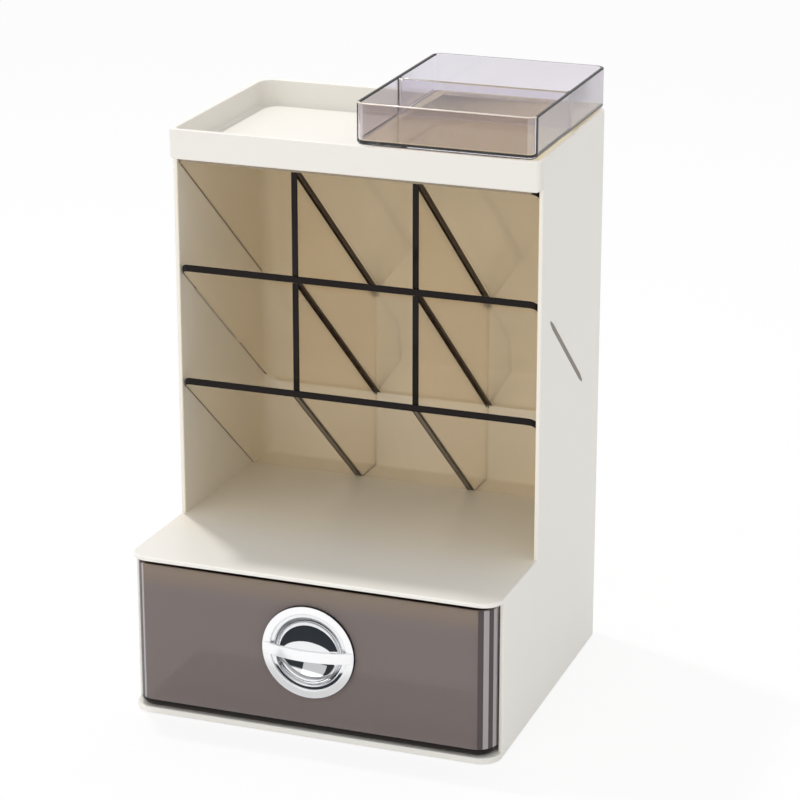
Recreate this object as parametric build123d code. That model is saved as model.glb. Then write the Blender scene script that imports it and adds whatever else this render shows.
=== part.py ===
from build123d import *
import math
import os

# Brush holder with a drawer, in millimetres. It stands on its foot pads, +Z is up and the drawer
# opens towards -Y. Pieces are drawn in the case's own frame (x = 0 in the middle, y = 0 at the
# drawer's face, z = 0 under the base plate) and are shifted together when they are written.

# ---- case ------------------------------------------------------------------------------------
CASE_WIDTH = 225.0          # across the two sides, at the front
CASE_DEPTH = 208.0
CASE_HEIGHT = 333.5         # up to the tray's rim
SIDE_DRAFT = 2.2            # each side leans in by this much from front to back
WALL = 2.6
BASE_THICKNESS = 3.7
CORNER_FRONT = 12.0         # plan radius of the shelf and base plate corners
CORNER_BACK = 12.0
MOULD_ROUND = 0.8           # the soft edge of the shelf, base plate and side walls
UPPER_FRONT = 76.3          # front edge of the upper side walls
LOWER_WALL_FRONT = 12.5     # front edge of the side walls beside the drawer
SHELF_TOP = 98.0            # at the drawer's face
SHELF_FALL = 0.0214         # mm down per mm back, the shelf's draft
SHELF_THICKNESS = 2.6

# ---- tray on top -----------------------------------------------------------------------------
TRAY_DEPTH = 15.7           # rim to tray floor
TRAY_FLOOR = 1.9
RIM_WALL = 2.9              # case wall and tray wall together, seen from above
RIM_OUTER = 1.4             # share of the rim that belongs to the case
LIP_REACH = 5.8             # how far the tray's front lip stands ahead of the side walls
LIP_WALL = 3.0
LIP_CORNER = 3.0            # the lip's ends, seen from above and from the front
LIP_EDGE_ROUND = 0.9
RIM_ROUND = 0.6
TRAY_COVE = 2.4

# ---- brush insert ----------------------------------------------------------------------------
SLOPE = 40.0                # degrees that the ramps fall towards the back
RAMP_THICKNESS = 3.4
# How far each ramp's front edge lies under the tray; the top one is cut flat by the tray's underside.
RAMP_DROPS = {"ramp_top": -1.8, "ramp_middle": 63.9, "ramp_lower": 133.4}
RAMP_CORNER = 4.5
SHEET_ROUND = 0.5           # the insert's polished edges
DIVIDER_X = 36.7
DIVIDER_THICKNESS = 3.8
TAB_START = 94.0            # the middle ramp's side tabs, measured back from the drawer's face
TAB_LENGTH = 88.0
TAB_NARROWING = 7.0
TAB_TIP = 0.7

# ---- drawer ----------------------------------------------------------------------------------
DRAWER_SIDE_DROP = 5.4      # the sides are lower than the front by this much
DRAWER_WALL = 2.4
DRAWER_RIM_ROUND = 0.8
DRAWER_CORNER = 11.5
DRAWER_BACK_CORNER = 6.0
DRAWER_EDGE_ROUND = 4.0
DRAWER_SHOULDER = 16.0      # where the low sides begin
GLIDE_X = 80.0
GLIDE_WIDTH = 3.0
STOP_X = 60.0
STOP_WIDTH = 14.0
STOP_TAB_HEIGHT = 2.4
STOP_THICKNESS = 2.4
DRAWER_TRAVEL = 150.0

# ---- knob ------------------------------------------------------------------------------------
KNOB_Z = 54.0
RING_RADIUS = 28.2
RING_BORE = 23.2
RING_THICKNESS = 1.8
GRIP_HEIGHT = 6.6
GRIP_BOW = 5.8
GRIP_THICKNESS = 2.2
CUP_RADIUS = 21.6
CUP_DEPTH = 11.0
CUP_WALL = 1.2
FLANGE_RADIUS = 24.2
FLANGE_THICKNESS = 0.8
SCREW_CIRCLE = 26.2
SCREW_RADIUS = 1.1
SCREW_HEAD_RADIUS = 2.5
SCREW_HEAD_HEIGHT = 1.6
BOSS_RADIUS = 1.8

# ---- sliding box -----------------------------------------------------------------------------
BOX_WIDTH = 106.3
BOX_HEIGHT = 24.2
BOX_SIDE_INSET = 4.6        # from the case's right side
BOX_LIP_INSET = 1.4         # from the face of the tray's lip
BOX_BACK_INSET = 0.2        # from the case's back
BOX_WALL = 2.0
BOX_FLOOR = 2.4
BOX_CORNER = 5.5
BOX_EDGE_ROUND = 2.0
BOX_RIM_ROUND = 0.6
BOX_DIVIDER_THICKNESS = 1.8
BOX_DIVIDER_DROP = 0.6
GROOVE_RIB = 1.2
GROOVE_RIB_WIDTH = 1.2
GUIDE_DROP = 2.4
GUIDE_WIDTH = 1.6

# ---- foot pads -------------------------------------------------------------------------------
PAD_RADIUS = 7.0
PAD_THICKNESS = 2.0
PAD_PROUD = 0.8
PAD_INSET = 20.0

# ---- clearances ------------------------------------------------------------------------------
FIT = 0.05                  # pieces that press together
INSERT_FIT = 0.15           # ramps and dividers against the case
DRAWER_SIDE_GAP = 0.35
DRAWER_TOP_GAP = 2.0        # under the shelf's front edge
DRAWER_BASE_GAP = 0.6       # above the base plate, where the glide ribs are
DRAWER_BACK_GAP = 2.4
GLIDE_GAP = 0.1
STOP_GAP = 0.6
BOX_GAP = 0.1               # sliding box above the rim
GUIDE_GAP = 0.4
GROOVE_GAP = 0.2

FAR = 400.0                 # longer than anything here, for cutting blocks

COS_SLOPE = math.cos(math.radians(SLOPE))
TAN_SLOPE = math.tan(math.radians(SLOPE))
RAMP_RISE = RAMP_THICKNESS / COS_SLOPE
RAMP_BACK = CASE_DEPTH - WALL - INSERT_FIT
KNOB_REACH = RING_THICKNESS + GRIP_BOW
TRAY_TOP = CASE_HEIGHT - TRAY_DEPTH
TRAY_UNDER = TRAY_TOP - TRAY_FLOOR
LIP_FRONT = UPPER_FRONT - LIP_REACH
DRAWER_BOTTOM = BASE_THICKNESS + DRAWER_BASE_GAP
DRAWER_FRONT_TOP = SHELF_TOP - SHELF_THICKNESS - DRAWER_TOP_GAP
DRAWER_SIDE_TOP = DRAWER_FRONT_TOP - DRAWER_SIDE_DROP
DRAWER_DEPTH = CASE_DEPTH - WALL - DRAWER_BACK_GAP
BOX_RIGHT = CASE_WIDTH / 2 - BOX_SIDE_INSET
BOX_LEFT = BOX_RIGHT - BOX_WIDTH
BOX_FRONT = LIP_FRONT + BOX_LIP_INSET
BOX_BACK = CASE_DEPTH - BOX_BACK_INSET
BOX_DIVIDER_Y = (BOX_FRONT + BOX_BACK) / 2
OBJECT_SHIFT = Location((0, (KNOB_REACH - CASE_DEPTH) / 2, PAD_PROUD))


def half_width(y):
    """Half of the case's width at a distance y behind the drawer's face."""
    return CASE_WIDTH / 2 - SIDE_DRAFT * y / CASE_DEPTH


def shelf_top(y):
    """Height of the shelf's upper face."""
    return SHELF_TOP - SHELF_FALL * y


def shelf_under(y):
    """Height of the shelf's lower face."""
    return shelf_top(y) - SHELF_THICKNESS


def ramp_top(name, y):
    """Height of a ramp's upper face."""
    return TRAY_UNDER - RAMP_DROPS[name] - TAN_SLOPE * (y - UPPER_FRONT)


def plan(front, back, inset, front_radius=0.0, back_radius=0.0):
    """The case's tapered outline seen from above, drawn in by an inset."""
    corners = [
        (inset - half_width(front), front),
        (half_width(front) - inset, front),
        (half_width(back) - inset, back),
        (inset - half_width(back), back),
    ]
    outline = Polygon(*corners, align=None)
    rows = outline.vertices().group_by(Axis.Y)
    if front_radius > 0:
        outline = fillet(rows[0], front_radius)
        rows = outline.vertices().group_by(Axis.Y)
    if back_radius > 0:
        outline = fillet(rows[-1], back_radius)
    return outline


def column(outline, low, high):
    """A plan outline raised from one height to another."""
    return extrude(Pos(0, 0, low) * outline, amount=high - low, dir=(0, 0, 1))


def bar(points, left=-FAR, right=FAR):
    """A side profile, given as (y, z) points, drawn out along X."""
    profile = Plane.YZ.offset(left) * Polygon(*points, align=None)
    return extrude(profile, amount=right - left, dir=(1, 0, 0))


def above(height):
    """Everything over a sloping plane, which a function gives as height against depth."""
    return bar([(-FAR, height(-FAR)), (FAR, height(FAR)), (FAR, 3 * FAR), (-FAR, 3 * FAR)])


def below(height):
    """Everything under such a plane."""
    return bar([(-FAR, height(-FAR)), (FAR, height(FAR)), (FAR, -3 * FAR), (-FAR, -3 * FAR)])


def block(x_range, y_range, z_range):
    """A plain rectangular block between three pairs of limits."""
    size = [high - low for low, high in (x_range, y_range, z_range)]
    middle = [(low + high) / 2 for low, high in (x_range, y_range, z_range)]
    return Pos(*middle) * Box(*size)


def disc(x, z, front, back, radius):
    """A round bar along Y, standing between two depths."""
    axis = Plane(origin=(x, front, z), x_dir=(1, 0, 0), z_dir=(0, 1, 0))
    return extrude(axis * Circle(radius), amount=back - front)


def middle(edge):
    """The middle of an edge's own box."""
    return edge.center(CenterOf.BOUNDING_BOX)


def is_upright(edge):
    """Whether an edge runs straight up."""
    return abs(edge.tangent_at(0.5).Z) > 0.9


def mirrored(piece):
    """A piece and its twin on the other side of the middle plane."""
    return piece + mirror(piece, about=Plane.YZ)


def tab_outline(play):
    """Side view of the middle ramp's tab, or of its slot when play is more than nought."""
    half = RAMP_THICKNESS / 2 + play
    length = TAB_LENGTH / 2 + play
    shoulder = length - TAB_NARROWING
    tip = TAB_TIP + play
    corners = [
        (-length, -tip), (-shoulder, -half), (shoulder, -half), (length, -tip),
        (length, tip), (shoulder, half), (-shoulder, half), (-length, tip),
    ]
    middle_y = TAB_START + TAB_LENGTH * COS_SLOPE / 2
    middle_z = ramp_top("ramp_middle", middle_y) - RAMP_RISE / 2
    lie = Pos(middle_y, middle_z) * Rot(0, 0, -SLOPE)
    return extrude(Plane.YZ * lie * Polygon(*corners, align=None), amount=FAR, both=True)


def make_case_shell():
    """Side walls, back wall, shelf and base plate in one moulding, open to the front."""
    shell = column(plan(0, CASE_DEPTH, 0, CORNER_FRONT, CORNER_BACK), 0, CASE_HEIGHT)
    shell = fillet(shell.faces().sort_by(Axis.Z)[0].edges(), MOULD_ROUND)
    shell = fillet(shell.faces().sort_by(Axis.Z)[-1].edges(), RIM_ROUND)
    inner_corner = CORNER_BACK - WALL
    hollow = plan(-FAR, CASE_DEPTH - WALL, WALL, 0, inner_corner)

    ahead = block((-FAR, FAR), (-FAR, UPPER_FRONT), (0, FAR)) & above(shelf_top)
    upper_bay = column(hollow, 0, FAR) & above(shelf_top)
    shell = shell - ahead - upper_bay

    drawer_bay = column(hollow, BASE_THICKNESS, SHELF_TOP) & below(shelf_under)
    drawer_mouth = block((-FAR, FAR), (-FAR, LOWER_WALL_FRONT), (BASE_THICKNESS, SHELF_TOP))
    shell = shell - drawer_bay - (drawer_mouth & below(shelf_under))
    shell = fillet([edge for edge in shell.edges() if is_soft_edge(edge)], MOULD_ROUND)

    rim_corner = CORNER_BACK - RIM_OUTER
    rebate = plan(-FAR, CASE_DEPTH - RIM_OUTER, RIM_OUTER, 0, rim_corner)
    shell = shell - column(rebate, TRAY_UNDER, FAR)

    shell = shell - tab_outline(INSERT_FIT)

    glide = block(
        (GLIDE_X - GLIDE_WIDTH / 2, GLIDE_X + GLIDE_WIDTH / 2),
        (LOWER_WALL_FRONT, CASE_DEPTH - WALL),
        (BASE_THICKNESS, DRAWER_BOTTOM - GLIDE_GAP),
    )
    shell = shell + mirrored(glide)

    stop_back = DRAWER_DEPTH - STOP_THICKNESS - DRAWER_TRAVEL - STOP_GAP
    stop_front = stop_back - STOP_THICKNESS
    stop_rib = block(
        (STOP_X - STOP_WIDTH / 2, STOP_X + STOP_WIDTH / 2),
        (stop_front, stop_back),
        (DRAWER_SIDE_TOP + STOP_GAP, shelf_top(stop_back) - SHELF_THICKNESS / 2),
    )
    shell = shell + mirrored(stop_rib)

    for x, y in pad_places().values():
        recess = Pos(x, y, (PAD_THICKNESS - PAD_PROUD) / 2) * Cylinder(PAD_RADIUS + FIT, PAD_THICKNESS - PAD_PROUD)
        shell = shell - recess
    return shell


def is_soft_edge(edge):
    """Whether an edge of the case is one of the shelf's, the base plate's or a side wall's front edges."""
    place = middle(edge)
    if is_upright(edge):
        return min(abs(place.Y - UPPER_FRONT), abs(place.Y - LOWER_WALL_FRONT)) < FIT
    if abs(place.Z - shelf_top(place.Y)) < MOULD_ROUND / 2:
        return place.Y < UPPER_FRONT - FIT
    mouth_distance = min(abs(place.Z - shelf_under(place.Y)), abs(place.Z - BASE_THICKNESS))
    return mouth_distance < MOULD_ROUND / 2 and place.Y < LOWER_WALL_FRONT - FIT


def pad_places():
    """Where each foot pad sits under the base plate."""
    near = PAD_INSET
    far = CASE_DEPTH - PAD_INSET
    side_near = half_width(near) - PAD_INSET
    side_far = half_width(far) - PAD_INSET
    return {
        "foot_pad_front_left": (-side_near, near),
        "foot_pad_front_right": (side_near, near),
        "foot_pad_back_left": (-side_far, far),
        "foot_pad_back_right": (side_far, far),
    }


def make_foot_pad(x, y):
    """A rubber disc pressed into its recess and standing a little proud of it."""
    return Pos(x, y, PAD_THICKNESS / 2 - PAD_PROUD) * Cylinder(PAD_RADIUS, PAD_THICKNESS)


def make_top_tray():
    """The shallow tray that closes the case, with its lip across the front."""
    inset = RIM_OUTER + FIT
    bed = plan(UPPER_FRONT - FIT, CASE_DEPTH - inset, inset, 0, CORNER_BACK - inset)
    tray = column(bed, TRAY_UNDER, CASE_HEIGHT)

    lip_back = UPPER_FRONT - FIT
    lip = column(plan(LIP_FRONT, lip_back, 0), TRAY_UNDER, CASE_HEIGHT)
    corners = lip.edges().filter_by(is_upright).group_by(Axis.Y)[0]
    lower_ends = [edge for edge in lip.faces().sort_by(Axis.Z)[0].edges() if abs(middle(edge).X) > RIM_OUTER]
    lip = fillet([*corners, *lower_ends], LIP_CORNER)
    rim = lip.faces().sort_by(Axis.Z)[-1]
    lip = fillet([edge for edge in rim.edges() if middle(edge).Y < lip_back - FIT], RIM_ROUND)
    lip = fillet(lip.edges().filter_by(Axis.X).group_by(Axis.Z)[0].sort_by(Axis.Y)[0], LIP_EDGE_ROUND)
    tray = tray + lip

    hollow_corner = CORNER_BACK - RIM_WALL
    hollow = plan(LIP_FRONT + LIP_WALL, CASE_DEPTH - RIM_WALL, RIM_WALL, LIP_CORNER, hollow_corner)
    cavity = column(hollow, TRAY_TOP, CASE_HEIGHT + TRAY_DEPTH)
    cavity = fillet(cavity.faces().sort_by(Axis.Z)[0].edges(), TRAY_COVE)
    tray = tray - cavity
    return fillet(tray.faces().sort_by(Axis.Z)[-1].inner_wires()[0].edges(), RIM_ROUND)


def polished(sheet):
    """A ramp with its front edges rounded, round the corners as well."""
    reach = UPPER_FRONT + RAMP_CORNER / 2
    return fillet([edge for edge in sheet.edges() if middle(edge).Y < reach and not is_upright(edge)], SHEET_ROUND)


def make_ramp(name):
    """One sloping shelf of the brush insert, from the front opening down to the back wall."""
    back = RAMP_BACK
    profile = bar([
        (UPPER_FRONT - FAR, ramp_top(name, UPPER_FRONT - FAR)),
        (FAR, ramp_top(name, FAR)),
        (FAR, ramp_top(name, FAR) - RAMP_RISE),
        (UPPER_FRONT - FAR, ramp_top(name, UPPER_FRONT - FAR) - RAMP_RISE),
    ])
    inset = WALL + INSERT_FIT
    outline = plan(UPPER_FRONT, back, inset, RAMP_CORNER, CORNER_BACK - inset)
    ramp = profile & column(outline, 0, TRAY_UNDER - FIT)
    return polished(ramp - below(shelf_top))


def make_middle_ramp():
    """The middle ramp carries the side tabs, and laps half way through both dividers."""
    ramp = make_ramp("ramp_middle")
    band = column(plan(UPPER_FRONT, RAMP_BACK, INSERT_FIT), 0, CASE_HEIGHT)
    inside = column(plan(UPPER_FRONT, RAMP_BACK, WALL), 0, CASE_HEIGHT)
    tabs = (tab_outline(0) & band) - inside
    root = column(plan(UPPER_FRONT, RAMP_BACK, WALL - INSERT_FIT), 0, CASE_HEIGHT)
    root = root - column(plan(UPPER_FRONT, RAMP_BACK, WALL + 2 * INSERT_FIT), 0, CASE_HEIGHT)
    ramp = ramp + tabs + (tab_outline(0) & root)
    slot_half = DIVIDER_THICKNESS / 2 + INSERT_FIT
    slot = block((DIVIDER_X - slot_half, DIVIDER_X + slot_half), (lap_line(), FAR), (0, FAR))
    return ramp - mirrored(slot)


def lap_line():
    """Depth at which the middle ramp and the dividers meet in their half laps."""
    return (UPPER_FRONT + RAMP_BACK) / 2


def make_divider(x):
    """An upright wall between the top and lower ramps, reaching the shelf behind the lower one."""
    half = DIVIDER_THICKNESS / 2
    divider = block((x - half, x + half), (UPPER_FRONT, RAMP_BACK), (0, CASE_HEIGHT))
    divider = divider - above(lambda y: ramp_top("ramp_top", y) - RAMP_RISE - INSERT_FIT)
    divider = divider - below(lambda y: ramp_top("ramp_lower", y) + FIT)
    divider = divider - below(lambda y: shelf_top(y) + FIT)
    slot = bar([
        (0, ramp_top("ramp_middle", 0) + INSERT_FIT),
        (lap_line(), ramp_top("ramp_middle", lap_line()) + INSERT_FIT),
        (lap_line(), ramp_top("ramp_middle", lap_line()) - RAMP_RISE - INSERT_FIT),
        (0, ramp_top("ramp_middle", 0) - RAMP_RISE - INSERT_FIT),
    ])
    divider = divider - slot
    front_edges = [edge for edge in divider.edges() if middle(edge).Y < UPPER_FRONT + FIT and is_upright(edge)]
    return fillet(front_edges, SHEET_ROUND)


def make_drawer_tray():
    """An open box with a taller front, rounded at the corners and along the bottom."""
    inset = WALL + DRAWER_SIDE_GAP
    outer = plan(0, DRAWER_DEPTH, inset, DRAWER_CORNER, DRAWER_BACK_CORNER)
    drawer = column(outer, DRAWER_BOTTOM, DRAWER_FRONT_TOP)
    drawer = fillet(drawer.faces().sort_by(Axis.Z)[0].edges(), DRAWER_EDGE_ROUND)
    low_sides = block((-FAR, FAR), (DRAWER_SHOULDER, FAR), (DRAWER_SIDE_TOP, FAR))
    drawer = drawer - low_sides

    inner = plan(
        DRAWER_WALL,
        DRAWER_DEPTH - DRAWER_WALL,
        inset + DRAWER_WALL,
        DRAWER_CORNER - DRAWER_WALL,
        DRAWER_BACK_CORNER - DRAWER_WALL,
    )
    cavity = column(inner, DRAWER_BOTTOM + DRAWER_WALL, FAR)
    cavity = fillet(cavity.faces().sort_by(Axis.Z)[0].edges(), DRAWER_EDGE_ROUND - DRAWER_WALL)
    drawer = drawer - cavity
    rim = drawer.faces().sort_by(Axis.Z)[-1]
    drawer = fillet([edge for edge in rim.edges() if middle(edge).Y < DRAWER_SHOULDER - FIT], DRAWER_RIM_ROUND)

    stop_tab = block(
        (STOP_X - STOP_WIDTH / 2, STOP_X + STOP_WIDTH / 2),
        (DRAWER_DEPTH - STOP_THICKNESS, DRAWER_DEPTH),
        (DRAWER_SIDE_TOP - STOP_TAB_HEIGHT, DRAWER_SIDE_TOP + STOP_TAB_HEIGHT),
    )
    drawer = drawer + mirrored(stop_tab)
    drawer = drawer - disc(0, KNOB_Z, -FAR, DRAWER_SHOULDER, CUP_RADIUS + FIT)
    for z in screw_heights():
        drawer = drawer - disc(0, z, -FAR, DRAWER_SHOULDER, BOSS_RADIUS + FIT)
    return drawer


def screw_heights():
    """The knob's two fixing screws, above and below its middle."""
    return (KNOB_Z - SCREW_CIRCLE, KNOB_Z + SCREW_CIRCLE)


def make_knob_ring():
    """The ring on the drawer's face, recessed behind for the cup, with two screw bosses."""
    ring = disc(0, KNOB_Z, -RING_THICKNESS, 0, RING_RADIUS)
    face_edges = ring.faces().sort_by(Axis.Y)[0].edges()
    ring = fillet(face_edges, RING_THICKNESS / 3)
    ring = ring - disc(0, KNOB_Z, -FAR, FAR, RING_BORE)
    ring = ring - disc(0, KNOB_Z, -FLANGE_THICKNESS - FIT, 0, FLANGE_RADIUS + FIT)
    for z in screw_heights():
        ring = ring + disc(0, z, -RING_THICKNESS / 2, DRAWER_WALL, BOSS_RADIUS)
        ring = ring - disc(0, z, -RING_THICKNESS / 2, DRAWER_WALL, SCREW_RADIUS)
    return ring


def make_knob_cup():
    """The dished cup behind the ring, let into the drawer's front."""
    cup = disc(0, KNOB_Z, -FLANGE_THICKNESS, CUP_DEPTH, CUP_RADIUS)
    cup = fillet(cup.faces().sort_by(Axis.Y)[-1].edges(), CUP_DEPTH * 0.6)
    cup = cup + disc(0, KNOB_Z, -FLANGE_THICKNESS, 0, FLANGE_RADIUS)
    hollow = disc(0, KNOB_Z, -FLANGE_THICKNESS, CUP_DEPTH - CUP_WALL, CUP_RADIUS - CUP_WALL)
    hollow = fillet(hollow.faces().sort_by(Axis.Y)[-1].edges(), CUP_DEPTH * 0.6 - CUP_WALL)
    return cup - hollow


def make_knob_grip():
    """The bar across the ring, bowed towards the hand."""
    end = RING_RADIUS - RING_THICKNESS / 3 - FIT
    front = -RING_THICKNESS - FIT
    outer = ThreePointArc((-end, front), (0, front - GRIP_BOW + FIT), (end, front))
    shoulder = end - GRIP_THICKNESS * 2
    inner = ThreePointArc((shoulder, front), (0, front - GRIP_BOW + GRIP_THICKNESS), (-shoulder, front))
    right_foot = Line((end, front), (shoulder, front))
    left_foot = Line((-shoulder, front), (-end, front))
    outline = make_face([outer, right_foot, inner, left_foot])
    grip = extrude(Pos(0, 0, KNOB_Z - GRIP_HEIGHT / 2) * outline, amount=GRIP_HEIGHT, dir=(0, 0, 1))
    return grip


def make_knob_screws():
    """Two pan-head screws driven from inside the drawer."""
    screws = []
    for z in screw_heights():
        shank = disc(0, z, -RING_THICKNESS / 2 + FIT, DRAWER_WALL + FIT, SCREW_RADIUS - FIT)
        head = disc(0, z, DRAWER_WALL + FIT, DRAWER_WALL + FIT + SCREW_HEAD_HEIGHT, SCREW_HEAD_RADIUS)
        head = fillet(head.faces().sort_by(Axis.Y)[-1].edges(), SCREW_HEAD_HEIGHT / 2)
        screws.append(shank + head)
    return Compound(children=[screw.solid() for screw in screws])


def box_outline(inset, corner):
    """The sliding box seen from above."""
    width = BOX_RIGHT - BOX_LEFT - 2 * inset
    depth = BOX_BACK - BOX_FRONT - 2 * inset
    centre = Pos((BOX_LEFT + BOX_RIGHT) / 2, (BOX_FRONT + BOX_BACK) / 2)
    return centre * RectangleRounded(width, depth, corner)


def make_sliding_box():
    """A clear open box that rides on the tray's front and back rims."""
    bottom = CASE_HEIGHT + BOX_GAP
    top = bottom + BOX_HEIGHT
    box = column(box_outline(0, BOX_CORNER), bottom, top)
    box = fillet(box.faces().sort_by(Axis.Z)[0].edges(), BOX_EDGE_ROUND)
    cavity = column(box_outline(BOX_WALL, BOX_CORNER - BOX_WALL), bottom + BOX_FLOOR, top + BOX_HEIGHT)
    cavity = fillet(cavity.faces().sort_by(Axis.Z)[0].edges(), BOX_EDGE_ROUND / 2)
    box = box - cavity
    box = fillet(box.faces().sort_by(Axis.Z)[-1].edges(), BOX_RIM_ROUND)

    floor_top = bottom + BOX_FLOOR
    half_groove = BOX_DIVIDER_THICKNESS / 2 + GROOVE_GAP
    for wall_x, inward in ((BOX_LEFT + BOX_WALL, 1), (BOX_RIGHT - BOX_WALL, -1)):
        for side in (-1, 1):
            y_inner = BOX_DIVIDER_Y + side * half_groove
            y_outer = y_inner + side * GROOVE_RIB_WIDTH
            x_root = wall_x - inward * BOX_WALL / 2
            x_tip = wall_x + inward * GROOVE_RIB
            rib = block(
                sorted((x_root, x_tip)),
                sorted((y_inner, y_outer)),
                (floor_top - BOX_FLOOR / 2, top - BOX_DIVIDER_DROP),
            )
            box = box + rib

    front_guide = LIP_FRONT + LIP_WALL + GUIDE_GAP
    back_guide = CASE_DEPTH - RIM_WALL - GUIDE_GAP
    guide_right = half_width(CASE_DEPTH) - CORNER_BACK - GUIDE_GAP
    guide_left = BOX_LEFT + BOX_RIGHT - guide_right
    guide_z = (CASE_HEIGHT - GUIDE_DROP, bottom + BOX_FLOOR / 2)
    box = box + block((guide_left, guide_right), (front_guide, front_guide + GUIDE_WIDTH), guide_z)
    box = box + block((guide_left, guide_right), (back_guide - GUIDE_WIDTH, back_guide), guide_z)
    return box


def make_box_divider():
    """The loose wall that drops into the box's grooves."""
    bottom = CASE_HEIGHT + BOX_GAP
    divider = block(
        (BOX_LEFT + BOX_WALL + GROOVE_GAP, BOX_RIGHT - BOX_WALL - GROOVE_GAP),
        (BOX_DIVIDER_Y - BOX_DIVIDER_THICKNESS / 2, BOX_DIVIDER_Y + BOX_DIVIDER_THICKNESS / 2),
        (bottom + BOX_FLOOR + GLIDE_GAP, bottom + BOX_HEIGHT - BOX_DIVIDER_DROP),
    )
    divider = fillet(divider.edges().filter_by(Axis.X).group_by(Axis.Z)[-1], BOX_RIM_ROUND)
    bottom_corners = divider.edges().filter_by(Axis.Y).group_by(Axis.Z)[0]
    return fillet(bottom_corners, BOX_EDGE_ROUND / 2)


def write(name, piece):
    """Move a piece to the object's frame and write its file."""
    export_step(OBJECT_SHIFT * piece, f"parts/{name}.step")


os.makedirs("parts", exist_ok=True)
write("case_shell", make_case_shell())
write("top_tray", make_top_tray())
write("ramp_top", make_ramp("ramp_top"))
write("ramp_middle", make_middle_ramp())
write("ramp_lower", make_ramp("ramp_lower"))
write("divider_left", make_divider(-DIVIDER_X))
write("divider_right", make_divider(DIVIDER_X))
for pad_name, (pad_x, pad_y) in pad_places().items():
    write(pad_name, make_foot_pad(pad_x, pad_y))
write("drawer_tray", make_drawer_tray())
write("knob_ring", make_knob_ring())
write("knob_cup", make_knob_cup())
write("knob_grip", make_knob_grip())
write("knob_screws", make_knob_screws())
write("sliding_box", make_sliding_box())
write("box_divider", make_box_divider())
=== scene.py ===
import math

import bmesh
import bpy
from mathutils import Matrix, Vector


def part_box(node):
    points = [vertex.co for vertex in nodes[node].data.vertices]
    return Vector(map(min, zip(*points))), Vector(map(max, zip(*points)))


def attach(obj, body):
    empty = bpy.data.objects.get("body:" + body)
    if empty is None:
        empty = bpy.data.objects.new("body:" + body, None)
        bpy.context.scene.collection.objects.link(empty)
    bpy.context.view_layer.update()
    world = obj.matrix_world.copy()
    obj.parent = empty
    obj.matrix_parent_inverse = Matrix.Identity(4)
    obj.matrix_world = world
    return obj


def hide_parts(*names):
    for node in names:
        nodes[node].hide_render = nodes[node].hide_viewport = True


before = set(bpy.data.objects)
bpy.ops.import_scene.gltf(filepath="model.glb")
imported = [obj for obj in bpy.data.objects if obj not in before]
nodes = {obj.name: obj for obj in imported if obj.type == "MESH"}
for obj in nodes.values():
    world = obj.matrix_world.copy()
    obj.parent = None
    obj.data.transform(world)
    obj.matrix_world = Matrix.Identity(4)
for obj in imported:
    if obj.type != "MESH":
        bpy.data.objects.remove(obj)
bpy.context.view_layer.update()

# ---- Where the case stands ------------------------------------------------------------------------
# The case's sizes are given in millimetres from the middle of its front bottom edge: x to the right,
# y back into the case and z up.
MM = 0.001
case_low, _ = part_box("case_shell")
CASE_FOOT = Vector((0, case_low.y, case_low.z))


def at(x, y, z):
    """A point of the case, in metres."""
    return CASE_FOOT + Vector((x, y, z)) * MM


# ---- Camera ---------------------------------------------------------------------------------------
# A long lens, to the right of the drawer and a little above the tray, solved from the straight edges
# of the lip, the shelves, the drawer and the box in the photograph.
CAMERA_AZIMUTH = math.radians(20.05)
CAMERA_ELEVATION = math.radians(19.16)
CAMERA_DISTANCE = 1.749
CAMERA_TARGET = at(26.5, 78.8, 183.1)

camera_data = bpy.data.cameras.new("camera")
camera_data.sensor_width = 36
camera_data.lens = 136.8
camera_data.clip_start = 0.1
camera_data.clip_end = 30
camera = bpy.data.objects.new("camera", camera_data)
bpy.context.collection.objects.link(camera)
camera_back = Vector((
    math.sin(CAMERA_AZIMUTH) * math.cos(CAMERA_ELEVATION),
    -math.cos(CAMERA_AZIMUTH) * math.cos(CAMERA_ELEVATION),
    math.sin(CAMERA_ELEVATION),
))
camera.location = CAMERA_TARGET + camera_back * CAMERA_DISTANCE
camera.rotation_mode = "QUATERNION"
camera.rotation_quaternion = (-camera_back).to_track_quat("-Z", "Y")
bpy.context.scene.camera = camera


# ---- Studio ---------------------------------------------------------------------------------------
# A white table that runs on to the horizon, under a white room that is dark low down in front of the
# object. Only polished surfaces mirror that dark side.
FLOOR_HALF = 6.0
FLOOR_COLOR = (0.93, 0.93, 0.93)
FLOOR_GLOW_SHARE = 0.86     # how far the table is plain white where it is looked at
ROOM_LIGHT = 0.74
WHITE = (1, 1, 1)
DARK_SIDE = (0.035, 0.04, 0.045)
DARK_SIDE_FORWARD = (-0.2, -0.4)    # how far forward a direction points where the dark starts and is full
DARK_SIDE_LOW = (0.55, 0.45)        # how high it points where the dark starts and is full


def new_material(name):
    """A material with a Principled shader, which is given back with its node tree."""
    material = bpy.data.materials.new(name)
    material.use_nodes = True
    tree = material.node_tree
    return material, tree, tree.nodes["Principled BSDF"]


def maths(tree, operation, *values):
    """The result of a Math node, whose inputs are sockets or plain numbers."""
    node = tree.nodes.new("ShaderNodeMath")
    node.operation = operation
    for entry, value in zip(node.inputs, values):
        if isinstance(value, bpy.types.NodeSocket):
            tree.links.new(value, entry)
        else:
            entry.default_value = value
    return node.outputs[0]


def painted(tree, mask, plain, other):
    """A colour that goes from a plain one to another where a mask goes from nought to one."""
    mix = tree.nodes.new("ShaderNodeMix")
    mix.data_type = "RGBA"
    mix.inputs["A"].default_value = (*plain, 1)
    mix.inputs["B"].default_value = (*other, 1)
    tree.links.new(mask, mix.inputs["Factor"])
    return mix.outputs["Result"]


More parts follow.
